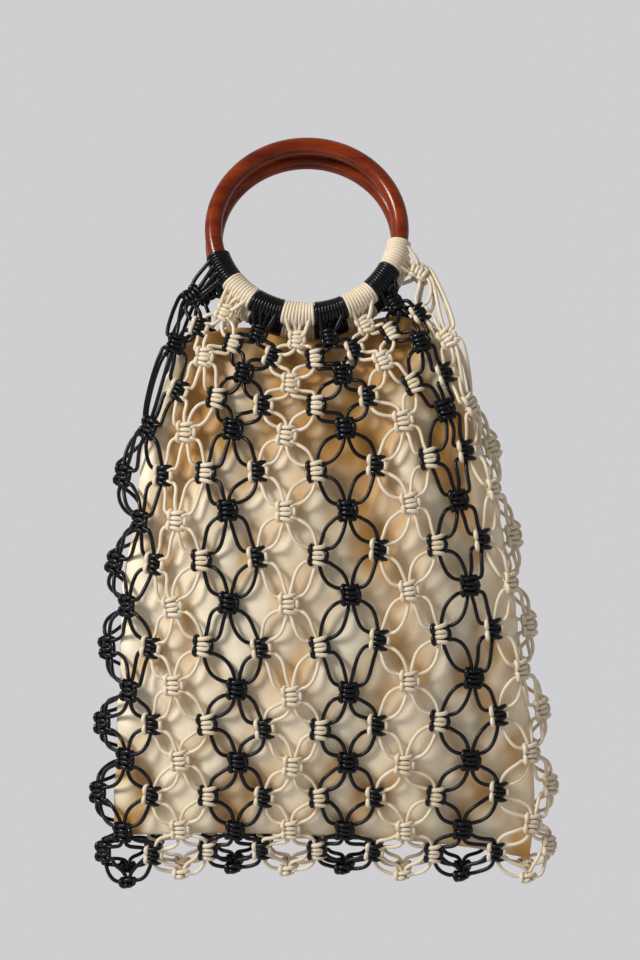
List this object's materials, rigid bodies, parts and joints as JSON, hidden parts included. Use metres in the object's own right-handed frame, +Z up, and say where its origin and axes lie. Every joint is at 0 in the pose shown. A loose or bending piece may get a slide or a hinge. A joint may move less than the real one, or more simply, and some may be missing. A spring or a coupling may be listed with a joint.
{
  "type": "macrame ring handle bag",
  "caption": "Knotted black and cream macrame net bag with round wooden ring handles and a cream cotton pouch inside, hanging by its rings.",
  "frame": {"origin": "where the bag hangs: midway between the lowest points of the two ring tops", "axes": "+X to the right seen from the front, -Y towards the viewer, +Z up with the bag hanging"},
  "size_m": [0.2936, 0.0821, 0.4776],
  "materials": {
    "lacquered_wood": "glossy lacquer",
    "black_cord": "waxed cotton cord",
    "cream_cord": "plain cotton cord",
    "net_cord": "knotted cotton cord",
    "cotton": "soft woven cotton"
  },
  "bodies": {
    "root": {"ring_front": "lacquered_wood", "wrap_front_1": "black_cord", "wrap_front_2": "cream_cord", "wrap_front_3": "black_cord", "wrap_front_4": "cream_cord", "wrap_front_5": "black_cord", "wrap_front_6": "cream_cord", "wrap_front_7": "black_cord", "wrap_front_8": "cream_cord", "net_front": "net_cord", "ring_back": "lacquered_wood", "wrap_back_1": "black_cord", "wrap_back_2": "cream_cord", "wrap_back_3": "black_cord", "wrap_back_4": "cream_cord", "wrap_back_5": "black_cord", "wrap_back_6": "cream_cord", "wrap_back_7": "black_cord", "wrap_back_8": "cream_cord", "net_back": "net_cord", "lining": "cotton"}
  },
  "joints": []
}
